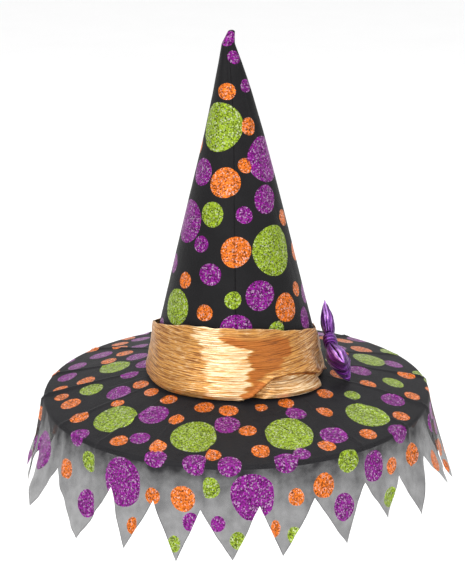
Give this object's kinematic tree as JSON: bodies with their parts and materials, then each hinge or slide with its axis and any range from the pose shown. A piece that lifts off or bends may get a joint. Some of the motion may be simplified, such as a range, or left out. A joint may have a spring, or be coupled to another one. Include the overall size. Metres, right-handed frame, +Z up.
{
  "type": "witch hat",
  "caption": "Tall cone hat with a wide drooping wired brim, a sheer dotted net with a zig-zag hem, a crinkled sash and a side bow.",
  "frame": {"origin": "centre of the head opening, level with the foot of the cone", "axes": "+Z up along the cone towards its tip, -Y out of the front of the hat, +X towards the bow"},
  "size_m": [0.4777, 0.4488, 0.5059],
  "materials": {
    "black_cloth": "woven satin cloth with glitter dots",
    "felt": "stiff pressed felt",
    "lining_cloth": "plain woven lining",
    "sweatband_ribbon": "ribbed ribbon",
    "wire_steel": "drawn wire",
    "ferrule_brass": "crimped tube",
    "binding_tape": "satin tape",
    "dotted_net": "sheer net with glitter dots",
    "copper_lame": "crinkled metallic cloth",
    "purple_lame": "crinkled metallic cloth"
  },
  "bodies": {
    "root": {"cone_cover": "black_cloth", "cone_stiffener": "felt", "cone_lining": "lining_cloth", "sweatband": "sweatband_ribbon", "brim_cover": "black_cloth", "brim_stiffener": "felt", "brim_lining": "lining_cloth", "brim_wire": "wire_steel", "wire_ferrule": "ferrule_brass", "edge_binding": "binding_tape", "net_overlay": "dotted_net", "hatband": "copper_lame", "bow_upper_loop": "purple_lame", "bow_lower_loop": "purple_lame", "bow_knot": "purple_lame"}
  },
  "joints": []
}
